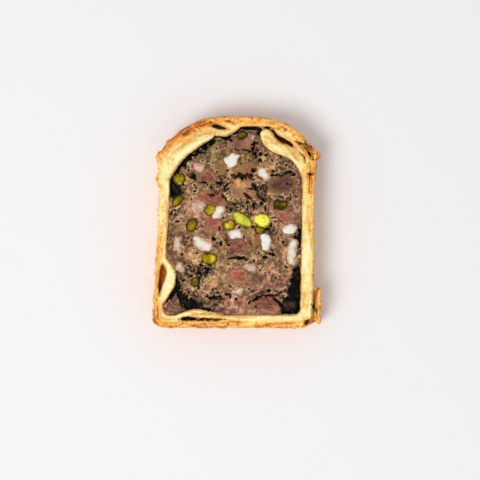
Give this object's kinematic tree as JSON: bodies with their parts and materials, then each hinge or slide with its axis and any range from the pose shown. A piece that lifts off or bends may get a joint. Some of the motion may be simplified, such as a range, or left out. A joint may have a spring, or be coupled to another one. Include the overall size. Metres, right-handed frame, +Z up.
{
  "type": "pate en croute slice",
  "caption": "Slice of pate en croute: a domed golden pastry crust with folded flaps round a coarse meat filling with pistachio kernels, fat cubes and dark jelly.",
  "frame": {"origin": "under the middle of the slice, on the surface that its lower cut face lies on", "axes": "+X across the loaf, +Y from the loaf's foot to its domed lid, +Z up through the slice's thickness"},
  "size_m": [0.0878, 0.1106, 0.0201],
  "materials": {
    "crust": "baked hot-water pastry, golden outside and cream inside",
    "forcemeat": "coarse cooked meat, moist and torn",
    "jelly": "dark set aspic, glossy",
    "pistachio": "yellow-green kernel, waxy",
    "fat": "firm white pork fat, satin",
    "lean": "diced lean meat, moist"
  },
  "bodies": {
    "root": {"crust": "crust", "forcemeat": "forcemeat", "jelly_upper_left": "jelly", "jelly_top": "jelly", "jelly_right": "jelly", "jelly_lower_right": "jelly", "jelly_lower_left": "jelly", "jelly_left_fold": "jelly", "pistachio_01": "pistachio", "pistachio_02": "pistachio", "pistachio_03": "pistachio", "pistachio_04": "pistachio", "pistachio_05": "pistachio", "pistachio_06": "pistachio", "pistachio_07": "pistachio", "pistachio_08": "pistachio", "pistachio_09": "pistachio", "pistachio_10": "pistachio", "pistachio_11": "pistachio", "pistachio_12": "pistachio", "pistachio_13": "pistachio", "pistachio_14": "pistachio", "pistachio_15": "pistachio", "pistachio_16": "pistachio", "fat_01": "fat", "fat_02": "fat", "fat_03": "fat", "fat_04": "fat", "fat_05": "fat", "fat_06": "fat", "fat_07": "fat", "fat_08": "fat", "fat_09": "fat", "fat_10": "fat", "fat_11": "fat", "fat_12": "fat", "fat_13": "fat", "fat_14": "fat", "lean_01": "lean", "lean_02": "lean", "lean_03": "lean", "lean_04": "lean", "lean_05": "lean", "lean_06": "lean", "lean_07": "lean", "lean_08": "lean", "lean_09": "lean", "lean_10": "lean", "lean_11": "lean", "lean_12": "lean", "lean_13": "lean", "lean_14": "lean"}
  },
  "joints": []
}
